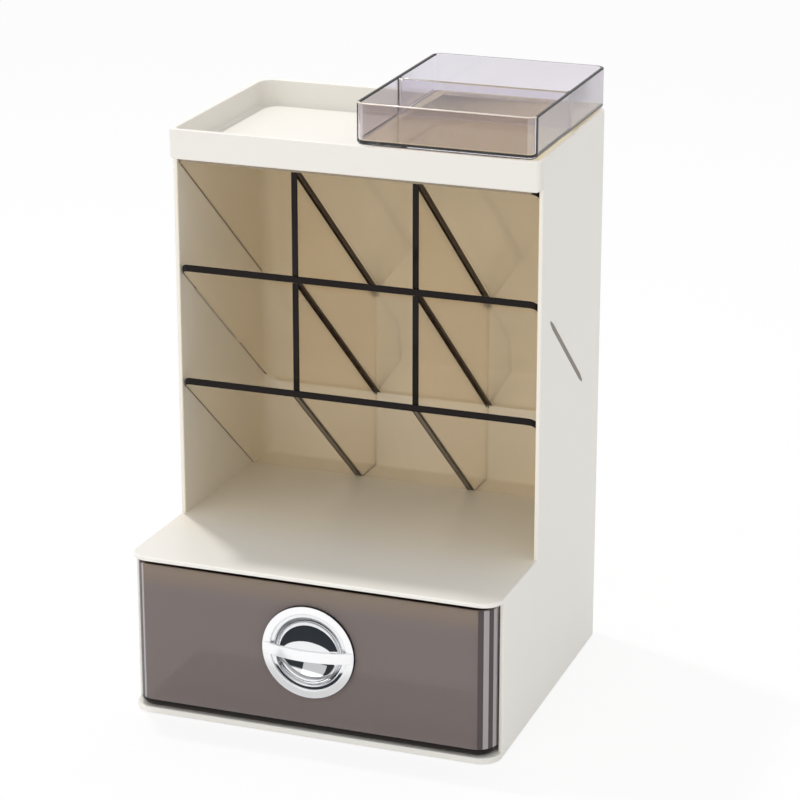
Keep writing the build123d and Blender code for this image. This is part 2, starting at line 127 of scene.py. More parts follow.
def axes(tree, coordinates):
    """The X, Y and Z of the Object or Generated coordinates, by name."""
    place = tree.nodes.new("ShaderNodeTexCoord")
    parts = tree.nodes.new("ShaderNodeSeparateXYZ")
    tree.links.new(place.outputs[coordinates], parts.inputs[0])
    return parts.outputs


def seen_or_mirrored(tree):
    """One where the camera, a mirror or glass looks, and nought for light that falls on things."""
    path = tree.nodes.new("ShaderNodeLightPath").outputs
    total = path["Is Camera Ray"]
    for kind in ("Is Glossy Ray", "Is Transmission Ray"):
        total = maths(tree, "MAXIMUM", total, path[kind])
    return total


def band(tree, value, low, high):
    """A mask that rises smoothly from nought to one as a value goes from low to high."""
    ramp = tree.nodes.new("ShaderNodeMapRange")
    ramp.interpolation_type = "SMOOTHSTEP"
    ramp.inputs["From Min"].default_value = low
    ramp.inputs["From Max"].default_value = high
    tree.links.new(value, ramp.inputs["Value"])
    return ramp.outputs["Result"]


def product(tree, *masks):
    """The product of some masks."""
    total = masks[0]
    for mask in masks[1:]:
        total = maths(tree, "MULTIPLY", total, mask)
    return total


floor_bm = bmesh.new()
bmesh.ops.create_grid(floor_bm, x_segments=1, y_segments=1, size=FLOOR_HALF)
floor_mesh = bpy.data.meshes.new("table_top")
floor_bm.to_mesh(floor_mesh)
floor_bm.free()
floor = bpy.data.objects.new("table_top", floor_mesh)
bpy.context.collection.objects.link(floor)

floor_material, floor_tree, floor_shader = new_material("white_table")
floor_shader.inputs["Base Color"].default_value = (*FLOOR_COLOR, 1)
floor_shader.inputs["Roughness"].default_value = 0.7
floor_glow = floor_tree.nodes.new("ShaderNodeEmission")
floor_share = maths(floor_tree, "MULTIPLY", seen_or_mirrored(floor_tree), FLOOR_GLOW_SHARE)
floor_mix = floor_tree.nodes.new("ShaderNodeMixShader")
floor_tree.links.new(floor_share, floor_mix.inputs["Fac"])
floor_tree.links.new(floor_shader.outputs[0], floor_mix.inputs[1])
floor_tree.links.new(floor_glow.outputs[0], floor_mix.inputs[2])
floor_tree.links.new(floor_mix.outputs[0], floor_tree.nodes["Material Output"].inputs["Surface"])
floor_mesh.materials.append(floor_material)

room = bpy.data.worlds.new("white_room")
room.use_nodes = True
room_tree = room.node_tree
room_light = room_tree.nodes["Background"]
room_light.inputs["Color"].default_value = (*WHITE, 1)
room_light.inputs["Strength"].default_value = ROOM_LIGHT
room_view = room_tree.nodes.new("ShaderNodeBackground")
room_axes = axes(room_tree, "Generated")
room_path = room_tree.nodes.new("ShaderNodeLightPath").outputs
room_dark = product(
    room_tree,
    band(room_tree, room_axes["Y"], *DARK_SIDE_FORWARD),
    band(room_tree, room_axes["Z"], *DARK_SIDE_LOW),
    room_path["Is Glossy Ray"],
    maths(room_tree, "SUBTRACT", 1, room_path["Is Transmission Ray"]),
)
room_tree.links.new(painted(room_tree, room_dark, WHITE, DARK_SIDE), room_view.inputs["Color"])
room_mix = room_tree.nodes.new("ShaderNodeMixShader")
room_tree.links.new(seen_or_mirrored(room_tree), room_mix.inputs["Fac"])
room_tree.links.new(room_light.outputs[0], room_mix.inputs[1])
room_tree.links.new(room_view.outputs[0], room_mix.inputs[2])
room_tree.links.new(room_mix.outputs[0], room_tree.nodes["World Output"].inputs["Surface"])
bpy.context.scene.world = room


def studio_lamp(name, direction, distance, size, power):
    """A square lamp that looks at the shelf from a direction."""
    lamp_data = bpy.data.lights.new(name, "AREA")
    lamp_data.shape = "SQUARE"
    lamp_data.size = size
    lamp_data.energy = power
    lamp = bpy.data.objects.new(name, lamp_data)
    bpy.context.collection.objects.link(lamp)
    towards = Vector(direction).normalized()
    lamp.location = at(0, 60, 100) + towards * distance
    lamp.rotation_mode = "QUATERNION"
    lamp.rotation_quaternion = (-towards).to_track_quat("-Z", "Y")
    return lamp


# The overhead lamp stands a little behind and to the left, as the case's shadow on the shelf shows.
studio_lamp("overhead_lamp", (-0.281, 0.215, 0.937), 1.8, 0.09, 11.5)
studio_lamp("front_fill", (-0.35, -0.8, 0.5), 2.4, 2.2, 9)
low_fill = studio_lamp("low_fill", (0.05, -1, 0.12), 2.4, 1.6, 9)
low_fill.visible_glossy = False

# A black card lies on the table before the object. Only what mirrors shows it: the plated knob and,
# faintly, the face of the drawer.
CARD_NEAR = 22 * MM
CARD_FAR = 92 * MM
CARD_HALF = 110 * MM
CARD_HEIGHT = 0.5 * MM
card_bm = bmesh.new()
bmesh.ops.create_grid(card_bm, x_segments=1, y_segments=1, size=0.5)
bmesh.ops.scale(card_bm, vec=(2 * CARD_HALF, CARD_FAR - CARD_NEAR, 1), verts=card_bm.verts)
bmesh.ops.translate(
    card_bm, vec=CASE_FOOT + Vector((0, -(CARD_NEAR + CARD_FAR) / 2, CARD_HEIGHT)), verts=card_bm.verts
)
card_mesh = bpy.data.meshes.new("black_card")
card_bm.to_mesh(card_mesh)
card_bm.free()
card = bpy.data.objects.new("black_card", card_mesh)
bpy.context.collection.objects.link(card)
card_material, _, card_shader = new_material("black_card")
card_shader.inputs["Base Color"].default_value = (*DARK_SIDE, 1)
card_shader.inputs["Specular IOR Level"].default_value = 0
card_mesh.materials.append(card_material)
card.visible_camera = False
card.visible_diffuse = False
card.visible_transmission = False
card.visible_shadow = False
bpy.context.scene.view_settings.view_transform = "Standard"


# ---- Cream mouldings: case and tray ---------------------------------------------------------------
# The case is one cream ABS moulding and the tray that closes it is another. Both come out of a lightly
# sparked mould, so the skin is satin with a fine grain, and the colour clouds very slightly.
CREAM = (0.835, 0.81, 0.755)
TRAY_CREAM = (0.805, 0.78, 0.725)
CAVITY_SHADE_CREAM = (0.88, 0.80, 0.655)    # painted shade: a warmer cream inside the case, for light that has passed from wall to wall


def socket(tree, name, kind, way="INPUT", value=None):
    """A named socket on a node group."""
    made = tree.interface.new_socket(name=name, in_out=way, socket_type=kind)
    if value is not None:
        made.default_value = value
    return made


def moulded_skin():
    """Node group: clouding of the colour, a fine spark grain and patches of lower gloss."""
    tree = bpy.data.node_groups.new("moulded_skin", "ShaderNodeTree")
    socket(tree, "Color", "NodeSocketColor", value=(0.8, 0.8, 0.8, 1))
    socket(tree, "Clouding", "NodeSocketFloat", value=0.03)
    socket(tree, "Gloss", "NodeSocketFloat", value=0.35)
    socket(tree, "Gloss Change", "NodeSocketFloat", value=0.06)
    socket(tree, "Grain Scale", "NodeSocketFloat", value=1400)
    socket(tree, "Color", "NodeSocketColor", "OUTPUT")
    socket(tree, "Roughness", "NodeSocketFloat", "OUTPUT")
    socket(tree, "Height", "NodeSocketFloat", "OUTPUT")
    inward = tree.nodes.new("NodeGroupInput")
    outward = tree.nodes.new("NodeGroupOutput")
    place = tree.nodes.new("ShaderNodeTexCoord")

    cloud = tree.nodes.new("ShaderNodeTexNoise")
    cloud.inputs["Scale"].default_value = 14
    cloud.inputs["Detail"].default_value = 3
    tree.links.new(place.outputs["Object"], cloud.inputs["Vector"])
    centred = maths(tree, "SUBTRACT", cloud.outputs["Fac"], 0.5)
    amount = maths(tree, "MULTIPLY_ADD", centred, inward.outputs["Clouding"], 1)
    tinted = tree.nodes.new("ShaderNodeHueSaturation")
    tree.links.new(amount, tinted.inputs["Value"])
    tree.links.new(inward.outputs["Color"], tinted.inputs["Color"])
    tree.links.new(tinted.outputs["Color"], outward.inputs["Color"])

    patch = tree.nodes.new("ShaderNodeTexNoise")
    patch.inputs["Scale"].default_value = 45
    patch.inputs["Detail"].default_value = 4
    tree.links.new(place.outputs["Object"], patch.inputs["Vector"])
    gloss = maths(
        tree, "MULTIPLY_ADD", patch.outputs["Fac"], inward.outputs["Gloss Change"], inward.outputs["Gloss"]
    )
    tree.links.new(gloss, outward.inputs["Roughness"])

    grain = tree.nodes.new("ShaderNodeTexNoise")
    grain.inputs["Detail"].default_value = 2
    tree.links.new(place.outputs["Object"], grain.inputs["Vector"])
    tree.links.new(inward.outputs["Grain Scale"], grain.inputs["Scale"])
    tree.links.new(grain.outputs["Fac"], outward.inputs["Height"])
    return tree


moulded_skin_group = moulded_skin()


def moulded(
    name, color, clouding, gloss, gloss_change, grain_scale, grain_height, metallic=0.0, specular=0.5
):
    """A solid material with the skin's clouding, gloss and grain on its Principled shader."""
    material, tree, shader = new_material(name)
    skin = tree.nodes.new("ShaderNodeGroup")
    skin.node_tree = moulded_skin_group
    skin.inputs["Color"].default_value = (*color, 1)
    skin.inputs["Clouding"].default_value = clouding
    skin.inputs["Gloss"].default_value = gloss
    skin.inputs["Gloss Change"].default_value = gloss_change
    skin.inputs["Grain Scale"].default_value = grain_scale
    bump = tree.nodes.new("ShaderNodeBump")
    bump.inputs["Strength"].default_value = 0.35
    bump.inputs["Distance"].default_value = grain_height
    tree.links.new(skin.outputs["Height"], bump.inputs["Height"])
    tree.links.new(bump.outputs["Normal"], shader.inputs["Normal"])
    tree.links.new(skin.outputs["Color"], shader.inputs["Base Color"])
    tree.links.new(skin.outputs["Roughness"], shader.inputs["Roughness"])
    shader.inputs["Metallic"].default_value = metallic
    shader.inputs["Specular IOR Level"].default_value = specular
    return material


CREAM_SKIN = (0.03, 0.36, 0.1, 1500, 0.05 * MM)
case_cream = moulded("case_cream", CREAM, *CREAM_SKIN)
tray_cream = moulded("tray_cream", TRAY_CREAM, *CREAM_SKIN)
case_tree = case_cream.node_tree

WALL_MIDDLE = 111.2 * MM            # half way through a side wall, at the case's front
SIDE_LEAN = 2.2 / 208               # how fast the sides come in towards the back
BACK_MIDDLE = 206.7 * MM
BACK_CORNER_CUT = 6.7 * MM          # keeps the outside of the round back corners out of the mask
CAVITY_SHADE_FROM = 20 * MM                 # how far back the painted shade starts, and is at its deepest
CAVITY_SHADE_FULL = 110 * MM
BASE_MIDDLE = 2 * MM
EDGE = 0.1 * MM

case_axes = axes(case_tree, "Object")
sideways = maths(case_tree, "ABSOLUTE", case_axes["X"])
towards_wall = maths(case_tree, "MULTIPLY_ADD", case_axes["Y"], SIDE_LEAN, sideways)
towards_corner = maths(case_tree, "ADD", towards_wall, case_axes["Y"])
wall_limit = WALL_MIDDLE + SIDE_LEAN * CASE_FOOT.y
back_limit = BACK_MIDDLE + CASE_FOOT.y
corner_limit = wall_limit + back_limit - BACK_CORNER_CUT
base_limit = BASE_MIDDLE + CASE_FOOT.z
# Painted shade: inside the case, back from the front and above the base, the cream turns warmer.
painted_cavity_shade = product(
    case_tree,
    band(case_tree, towards_corner, corner_limit + EDGE, corner_limit),
    band(case_tree, towards_wall, wall_limit + EDGE, wall_limit),
    band(case_tree, case_axes["Y"], back_limit + EDGE, back_limit),
    band(case_tree, case_axes["Y"], CASE_FOOT.y + CAVITY_SHADE_FROM, CASE_FOOT.y + CAVITY_SHADE_FULL),
    band(case_tree, case_axes["Z"], base_limit, base_limit + EDGE),
)


def paint_skin(material, mask, plain, other):
    """Change the colour that goes into a material's skin where a mask is."""
    tree = material.node_tree
    skin = next(node for node in tree.nodes if node.type == "GROUP")
    tree.links.new(painted(tree, mask, plain, other), skin.inputs["Color"])


paint_skin(case_cream, painted_cavity_shade, CREAM, CAVITY_SHADE_CREAM)
for name, cream in (("case_shell", case_cream), ("top_tray", tray_cream)):
    nodes[name].data.materials.clear()
    nodes[name].data.materials.append(cream)


# ---- Brush insert ---------------------------------------------------------------------------------
# Three ramps and two dividers cut from polished smoke acrylic. The broad faces are lightly tinted,
# but light that enters an edge or a weld runs the whole length of the sheet, so both look nearly
# black. The top ramp's front edge is tan.
SMOKE_TINT = (0.97, 0.93, 0.865)
SMOKE_EDGE_AND_PAINTED_DARK = (0.012, 0.009, 0.008)
SMOKE_BACK_EDGE = (0.82, 0.74, 0.63)
WELD_BROWN = (0.045, 0.027, 0.016)
WELD_CORE = (0.13, 0.098, 0.062)
TOP_EDGE_TAN = (0.30, 0.24, 0.165)
WELD_ON_DIVIDER = 1.2 * MM
WELD_ON_RAMP = 2.6 * MM
WELD_BORDER = 0.7 * MM
DIVIDER_X = 36.7 * MM
DIVIDER_HALF = 1.9 * MM
SHARP_FROM = 28             # degrees between two faces, from which their edge is sharp


def merged_copy(name):
    """A bmesh of a CAD piece with its loose triangles joined and its flat faces made whole."""
    bm = bmesh.new()
    bm.from_mesh(nodes[name].data)
    bmesh.ops.remove_doubles(bm, verts=bm.verts, dist=1e-6)
    bmesh.ops.dissolve_limit(bm, angle_limit=math.radians(0.3), verts=bm.verts, edges=bm.edges)
    return bm


def finish_piece(bm, name, body, materials, replaced):
    """Turn a bmesh into a piece that rides on a body and stands for CAD pieces."""
    mesh = bpy.data.meshes.new(name)
    bm.to_mesh(mesh)
    bm.free()
    mesh.shade_smooth()
    mesh.set_sharp_from_angle(angle=math.radians(SHARP_FROM))
    for material in materials:
        mesh.materials.append(material)
    piece = bpy.data.objects.new(name, mesh)
    bpy.context.collection.objects.link(piece)
    flat_faces_lead = piece.modifiers.new("flat_faces_lead", "WEIGHTED_NORMAL")
    flat_faces_lead.weight = 100
    flat_faces_lead.keep_sharp = True
    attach(piece, body)
    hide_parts(*replaced)


def clear_plastic(name, tint, gloss, transmission=1.0, bending=1.49):
    """A see-through plastic that lets lamps through, with faint rubbing marks in its polish."""
    material, tree, shader = new_material(name)
    skin = tree.nodes.new("ShaderNodeGroup")
    skin.node_tree = moulded_skin_group
    skin.inputs["Color"].default_value = (*tint, 1)
    skin.inputs["Clouding"].default_value = 0.03
    skin.inputs["Gloss"].default_value = gloss
    skin.inputs["Gloss Change"].default_value = 0.03
    tree.links.new(skin.outputs["Color"], shader.inputs["Base Color"])
    tree.links.new(skin.outputs["Roughness"], shader.inputs["Roughness"])
    shader.inputs["IOR"].default_value = bending
    shader.inputs["Transmission Weight"].default_value = transmission
    path = tree.nodes.new("ShaderNodeLightPath").outputs
    lamp_or_bounce = maths(tree, "MAXIMUM", path["Is Shadow Ray"], path["Is Diffuse Ray"])
    lamp_light = tree.nodes.new("ShaderNodeBsdfTransparent")
    lamp_light.inputs["Color"].default_value = (*(c ** 0.5 * transmission for c in tint), 1)
    mix = tree.nodes.new("ShaderNodeMixShader")
    tree.links.new(lamp_or_bounce, mix.inputs["Fac"])
    tree.links.new(shader.outputs[0], mix.inputs[1])
    tree.links.new(lamp_light.outputs[0], mix.inputs[2])
    tree.links.new(mix.outputs[0], tree.nodes["Material Output"].inputs["Surface"])
    return material


smoke_face = clear_plastic("smoke_face", SMOKE_TINT, 0.06, bending=1.3)
smoke_back_edge = clear_plastic("smoke_back_edge", SMOKE_BACK_EDGE, 0.1, bending=1.3)
EDGE_SKIN = (0.3, 0.1, 900, 0.02 * MM)
weld = moulded("weld", WELD_BROWN, 0.3, *EDGE_SKIN)
weld_core = moulded("weld_core", WELD_CORE, 0.3, *EDGE_SKIN)
top_edge = moulded("smoke_top_edge", TOP_EDGE_TAN, 0.2, 0.2, *EDGE_SKIN[1:])
# This dark colour also stands for painted shade and a painted reflection: along the drawer's bottom, on
# the ring's side and in a strip on the box's floor.
smoke_edge_and_painted_dark = moulded("smoke_edge_and_painted_dark", SMOKE_EDGE_AND_PAINTED_DARK, 0.2, 0.12, *EDGE_SKIN[1:], specular=0.12)
INSERT_FRONT = 76.3 * MM + CASE_FOOT.y
RAMP_CORNER_DEPTH = 4.6 * MM
RAMP_NORMAL = Vector((0, math.sin(math.radians(40)), math.cos(math.radians(40))))
BACK_EDGE_DEPTH = 1 * MM
SHARP_FOLD = 0.5            # how much of a divider's end face points up or down
FLAT = 0.995                # cosine to a sheet's broad face, above which a face belongs to it
RIGHT_TURN = 0.1            # how much of a front edge's face points right at its right end
BROAD, EDGE_BLACK, EDGE_PALE, WELD, CORE, EDGE_TAN = range(6)   # places in SHEET_MATERIALS


def slope_height(point):
    """How far a point lies above a ramp-wise slope through the case's foot."""
    return point.dot(RAMP_NORMAL)


def paint_sheet(bm, name, broad_normal, dark_front=True, dark_ends=False):
    """Broad faces clear, worked front edges dark, and the edge at the back wall paler."""
    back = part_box(name)[1].y - BACK_EDGE_DEPTH
    for face in bm.faces:
        place = face.calc_center_median()
        if abs(face.normal.dot(broad_normal)) > FLAT:
            face.material_index = BROAD
        elif place.y < INSERT_FRONT + RAMP_CORNER_DEPTH:
            face.material_index = EDGE_BLACK if dark_front or face.normal.x > RIGHT_TURN else EDGE_TAN
        elif dark_ends and abs(face.normal.z) > SHARP_FOLD:
            face.material_index = EDGE_BLACK
        elif place.y > back:
            face.material_index = EDGE_PALE
        elif abs(face.normal.x) > FLAT:
            face.material_index = CORE


def cut(bm, point, normal):
    """Divide every face that a plane crosses."""
    geometry = [*bm.verts, *bm.edges, *bm.faces]
    bmesh.ops.bisect_plane(bm, geom=geometry, dist=1e-7, plane_co=point, plane_no=normal)


def paint_strip(bm, from_x, to_x, material_index):
    """Give the underside of a ramp another material between two places across it."""
    for x in (from_x, to_x):
        cut(bm, Vector((x, 0, 0)), Vector((1, 0, 0)))
    for face in bm.faces:
        if from_x < face.calc_center_median().x < to_x and face.normal.dot(RAMP_NORMAL) < -FLAT:
            face.material_index = material_index


SHEET_MATERIALS = (smoke_face, smoke_edge_and_painted_dark, smoke_back_edge, weld, weld_core, top_edge)
ramp_underside = {}
for name in ("ramp_top", "ramp_middle", "ramp_lower"):
    ramp_bm = merged_copy(name)
    ramp_underside[name] = min(slope_height(vert.co) for vert in ramp_bm.verts)
    paint_sheet(ramp_bm, name, RAMP_NORMAL, dark_front=name != "ramp_top")
    for middle in (-DIVIDER_X, DIVIDER_X):
        left, right = middle - DIVIDER_HALF, middle + DIVIDER_HALF
        if name == "ramp_lower":
            paint_strip(ramp_bm, left, right, EDGE_BLACK)
            paint_strip(ramp_bm, left + WELD_BORDER, right - WELD_BORDER, CORE)
        else:
            paint_strip(ramp_bm, right, right + WELD_ON_RAMP, WELD)
    finish_piece(ramp_bm, name + "_sheet", "case", SHEET_MATERIALS, [name])

for name in ("divider_left", "divider_right"):
    divider_bm = merged_copy(name)
    paint_sheet(divider_bm, name, Vector((1, 0, 0)), dark_ends=True)
    for ramp in ("ramp_top", "ramp_middle"):
        weld_top = ramp_underside[ramp]
        weld_foot = weld_top - WELD_ON_DIVIDER
        cut(divider_bm, RAMP_NORMAL * weld_foot, RAMP_NORMAL)
        cut(divider_bm, RAMP_NORMAL * weld_top, RAMP_NORMAL)
        for face in divider_bm.faces:
            beside_ramp = weld_foot < slope_height(face.calc_center_median()) < weld_top
            if beside_ramp and abs(face.normal.x) > FLAT:
                face.material_index = WELD
    finish_piece(divider_bm, name + "_sheet", "case", SHEET_MATERIALS, [name])


# ---- Drawer ---------------------------------------------------------------------------------------
# A deep tray in dark smoke plastic, with a tall rounded front. Along its top a browner band is painted,
# standing in for light seen through the front's top rim. It is thick and rounded along the bottom, where
# it is painted nearly black as painted shade, and stripes of painted highlight and painted shade run up
# its round corners.
DRAWER_TINT = (0.465, 0.395, 0.38)
DRAWER_PAINTED_TOP_BAND = (0.56, 0.455, 0.37)
DRAWER_PAINTED_GLINT = (0.52, 0.48, 0.50)
DRAWER_PAINTED_SHADE = (0.11, 0.09, 0.09)
# how high up the front the painted shade along the bottom reaches
DRAWER_PAINTED_DARK_FOOT = 4.6 * MM
DRAWER_CORNER = 11.5 * MM
BROWN_FROM = 16 * MM        # below the top, where the painted band starts and is full
BROWN_FULL = 3 * MM
TOWARDS_BACK = 0.02         # parts of a face's normal that take it off the front and its corners
TOWARDS_TOP = 0.95
SMOKE, FOOT, GLINT, SHADE = range(4)
# painted highlight and painted shade stripes up the round front corners, by how they face, in degrees from
# the front
LEFT_GLINTS = ((22, 34), (50, 64))
LEFT_SHADES = ((36, 48),)
RIGHT_GLINTS = ((34, 48), (70, 82))
RIGHT_SHADES = ((14, 30), (50, 66))

smoke_drawer = clear_plastic("smoke_drawer", DRAWER_TINT, 0.04, transmission=0.7, bending=1.3)
drawer_low, drawer_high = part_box("drawer_tray")
drawer_axes = axes(smoke_drawer.node_tree, "Object")
# Painted light: a browner band along the front's top, for light seen through its top rim.
painted_top_band = band(
    smoke_drawer.node_tree,
    drawer_axes["Z"],
    drawer_high.z - BROWN_FROM,
    drawer_high.z - BROWN_FULL,
)
paint_skin(smoke_drawer, painted_top_band, DRAWER_TINT, DRAWER_PAINTED_TOP_BAND)
# Copies of the drawer's plastic for the painted highlight and painted shade on its round corners.
drawer_painted_glint = clear_plastic("drawer_painted_glint", DRAWER_PAINTED_GLINT, 0.04, transmission=0.3, bending=1.3)
drawer_painted_shade = clear_plastic("drawer_painted_shade", DRAWER_PAINTED_SHADE, 0.04, transmission=0.3, bending=1.3)


def faces_between(angle, ranges):
    """True if an angle lies in one of some ranges."""
    return any(low <= angle <= high for low, high in ranges)


drawer_bm = merged_copy("drawer_tray")
cut(drawer_bm, Vector((0, 0, drawer_low.z + DRAWER_PAINTED_DARK_FOOT)), Vector((0, 0, 1)))
for face in drawer_bm.faces:
    place = face.calc_center_median()
    behind = place.y > drawer_low.y + DRAWER_CORNER or face.normal.y > TOWARDS_BACK
    if behind or abs(face.normal.z) > TOWARDS_TOP:
        continue
    turn = math.degrees(math.atan2(abs(face.normal.x), -face.normal.y))
    outside = face.normal.x * place.x >= 0
    # Painted shade: the front is painted nearly black along its thick rounded bottom.
    if place.z < drawer_low.z + DRAWER_PAINTED_DARK_FOOT:
        face.material_index = FOOT
    # Painted highlight and painted shade: stripes up the round corners.
    elif outside and faces_between(turn, LEFT_GLINTS if place.x < 0 else RIGHT_GLINTS):
        face.material_index = GLINT
    elif outside and faces_between(turn, LEFT_SHADES if place.x < 0 else RIGHT_SHADES):
        face.material_index = SHADE
drawer_materials = (smoke_drawer, smoke_edge_and_painted_dark, drawer_painted_glint, drawer_painted_shade)
finish_piece(drawer_bm, "smoke_drawer", "drawer", drawer_materials, ["drawer_tray"])


# ---- Knob -----------------------------------------------------------------------------------------
# A dished cup in chrome plate, with a ring round it and a bowed bar across in a paler, softer plate.
# The ring's side is painted dark, a painted reflection, which draws a thin line round it.
KNOB_HEIGHT = 54.0
RING_RADIUS = 28.2
RING_BORE = 23.2
RING_FACE = -1.8            # depths are measured from the drawer's face, minus towards the hand
RING_ROUND = 0.6
FLANGE_RADIUS = 24.15
FLANGE_FACE = -0.8
CUP_MOUTH = 20.6
CUP_DEPTH = 9.8
CUP_OUTER_RADIUS = 21.55
CUP_OUTER_DEPTH = 10.95
CUP_FULLNESS = 1.9          # 2 makes the cup's section an ellipse, more makes it squarer
GRIP_HALF = 27.5
GRIP_BOW = 5.75
GRIP_THICKNESS = 2.2
GRIP_HEIGHT = 6.6
GRIP_ROUND = 0.5
GRIP_CUTS = 39              # divisions along the bar, for its bow
RIM_ROUND = 0.8             # of the cup's mouth
PLATE_GAP = 0.05            # between plated parts that would otherwise lie in one plane
RING_CLEAR = 0.1            # how far the ring stands off the cup's flange
SCREW_CIRCLE = 26.2


def turned(profile, axis=(0, 1, 0), closed=True, steps=120):
    """A bmesh turned from a profile of (radius, height along the axis) points, in millimetres."""
    bm = bmesh.new()
    along = Vector(axis)
    verts = [bm.verts.new(Vector((radius, 0, 0)) + along * height) for radius, height in profile]
    edges = [bm.edges.new(pair) for pair in zip(verts, verts[1:])]
    if closed:
        edges.append(bm.edges.new((verts[-1], verts[0])))
    bmesh.ops.spin(
        bm, geom=[*verts, *edges], cent=(0, 0, 0), axis=axis, angle=math.tau, steps=steps, use_merge=True
    )
    bmesh.ops.remove_doubles(bm, verts=bm.verts, dist=1e-4)
    bmesh.ops.recalc_face_normals(bm, faces=bm.faces)
    return bm


def seat(bm, place):
    """Carry a bmesh drawn in millimetres to its place."""
    bmesh.ops.scale(bm, vec=(MM, MM, MM), verts=bm.verts)
    bmesh.ops.translate(bm, vec=place, verts=bm.verts)


def round_corner(centre_radius, centre_height, radius, start, end, steps=5):
    """Points along an arc of a profile, between two angles in degrees."""
    angles = [math.radians(start + (end - start) * step / steps) for step in range(steps + 1)]
    return [(centre_radius + radius * math.cos(a), centre_height + radius * math.sin(a)) for a in angles]


def bowl(radius, depth, steps=28):
    """Half section of a cup from its mouth to its middle."""
    points = []
    for step in range(steps + 1):
        turn = math.pi / 2 * step / steps
        across = radius * math.cos(turn) ** (2 / CUP_FULLNESS)
        down = depth * math.sin(turn) ** (2 / CUP_FULLNESS)
        points.append((across, down))
    points[-1] = (0, depth)
    return points


PLATE_SKIN = (260, 0.004 * MM)
chrome = moulded("chrome_plate", (0.88, 0.885, 0.9), 0.02, 0.03, 0.03, *PLATE_SKIN, metallic=1)
pale_plate = moulded("bright_plate", (0.95, 0.95, 0.96), 0.02, 0.1, 0.05, *PLATE_SKIN, metallic=0.3)

ring_profile = [
    (RING_RADIUS, 0),
    *round_corner(RING_RADIUS - RING_ROUND, RING_FACE + RING_ROUND, RING_ROUND, 0, -90),
    *round_corner(RING_BORE + RING_ROUND, RING_FACE + RING_ROUND, RING_ROUND, -90, -180),
    (RING_BORE, FLANGE_FACE - PLATE_GAP),
    (FLANGE_RADIUS + RING_CLEAR, FLANGE_FACE - PLATE_GAP),
    (FLANGE_RADIUS + RING_CLEAR, 0),
]
ring_bm = turned(ring_profile)
# Painted reflection: the ring's outer side takes the dark colour.
for face in ring_bm.faces:
    place = face.calc_center_median()
    if math.hypot(place.x, place.z) > RING_RADIUS - RING_ROUND / 2:
        face.material_index = 1
seat(ring_bm, at(0, 0, KNOB_HEIGHT))
ring_materials = (pale_plate, smoke_edge_and_painted_dark)
finish_piece(ring_bm, "plated_ring", "drawer", ring_materials, ["knob_ring"])

cup_profile = [
    (FLANGE_RADIUS, FLANGE_FACE),
    *round_corner(CUP_MOUTH + RIM_ROUND, FLANGE_FACE + RIM_ROUND, RIM_ROUND, -90, -170),
    *bowl(CUP_MOUTH, CUP_DEPTH)[1:],
    *reversed(bowl(CUP_OUTER_RADIUS, CUP_OUTER_DEPTH)),
    (FLANGE_RADIUS, 0),
]
cup_bm = turned(cup_profile)
seat(cup_bm, at(0, 0, KNOB_HEIGHT))
finish_piece(cup_bm, "dished_cup", "drawer", (chrome,), ["knob_cup"])

grip_bm = bmesh.new()
bmesh.ops.create_cube(grip_bm, size=1)
bmesh.ops.scale(grip_bm, vec=(2 * GRIP_HALF, 1, GRIP_HEIGHT), verts=grip_bm.verts)
lengthwise = [edge for edge in grip_bm.edges if abs(edge.verts[0].co.x - edge.verts[1].co.x) > 1]
bmesh.ops.subdivide_edges(grip_bm, edges=lengthwise, cuts=GRIP_CUTS, use_grid_fill=True)
grip_shoulder = GRIP_HALF - 2 * GRIP_THICKNESS
for vert in grip_bm.verts:
    if vert.co.y < 0:
        vert.co.y = RING_FACE - PLATE_GAP - GRIP_BOW * (1 - (vert.co.x / GRIP_HALF) ** 2)
    else:
        inner_bow = (GRIP_BOW - GRIP_THICKNESS) * max(0, 1 - (vert.co.x / grip_shoulder) ** 2)
        vert.co.y = RING_FACE - PLATE_GAP - inner_bow
bmesh.ops.remove_doubles(grip_bm, verts=grip_bm.verts, dist=1e-3)
folded = [edge for edge in grip_bm.edges if edge.is_manifold]
square_edges = [edge for edge in folded if edge.calc_face_angle() > math.radians(60)]
bmesh.ops.bevel(
    grip_bm,
    geom=square_edges,
    offset=GRIP_ROUND,
    segments=3,
    affect="EDGES",
    profile=0.5,
    material=-1,
    clamp_overlap=True,
)
seat(grip_bm, at(0, 0, KNOB_HEIGHT))
finish_piece(grip_bm, "bowed_grip", "drawer", (pale_plate,), ["knob_grip"])


# ---- Sliding box ----------------------------------------------------------------------------------
# A small open box in lightly tinted clear plastic that stands on the tray's rims, with a loose wall
# in its grooves. Its walls carry painted shade as tints: the front browner and darker, the right side
# darker and the floor browner, for the shaded tray seen through and mirrored in them. Its side rims
# take the dark edge colour, its front rim a painted highlight, and a strip of painted shade runs along
# the floor beside the left wall.
BOX_TINT = (0.79, 0.765, 0.82)
BOX_FLOOR_SHADE_TINT = (0.78, 0.70, 0.50)
BOX_FRONT_SHADE_TINT = (0.64, 0.565, 0.55)
BOX_SIDE_SHADE_TINT = (0.61, 0.58, 0.61)
BOX_PAINTED_SHADE_STRIP = (2.0 * MM, 3.3 * MM)   # painted shade: a dark line on the floor beside the left wall
BOX_WALL = 3 * MM           # nearer to an outer face than this, a face belongs to that wall
BOX_RIM_DEPTH = 0.9 * MM
BOX_FRONT_RIM_HIGHLIGHT = (0.62, 0.53, 0.46)
BOX_CORNER = 5.5 * MM
RIM_TURN = 0.7 * BOX_CORNER  # how far round a corner the front and back rims reach
RIM_TILT = 0.1              # how much of a rim face points up
BOX_FLOOR = 2.4 * MM
BOX_HEIGHT = 24.2 * MM
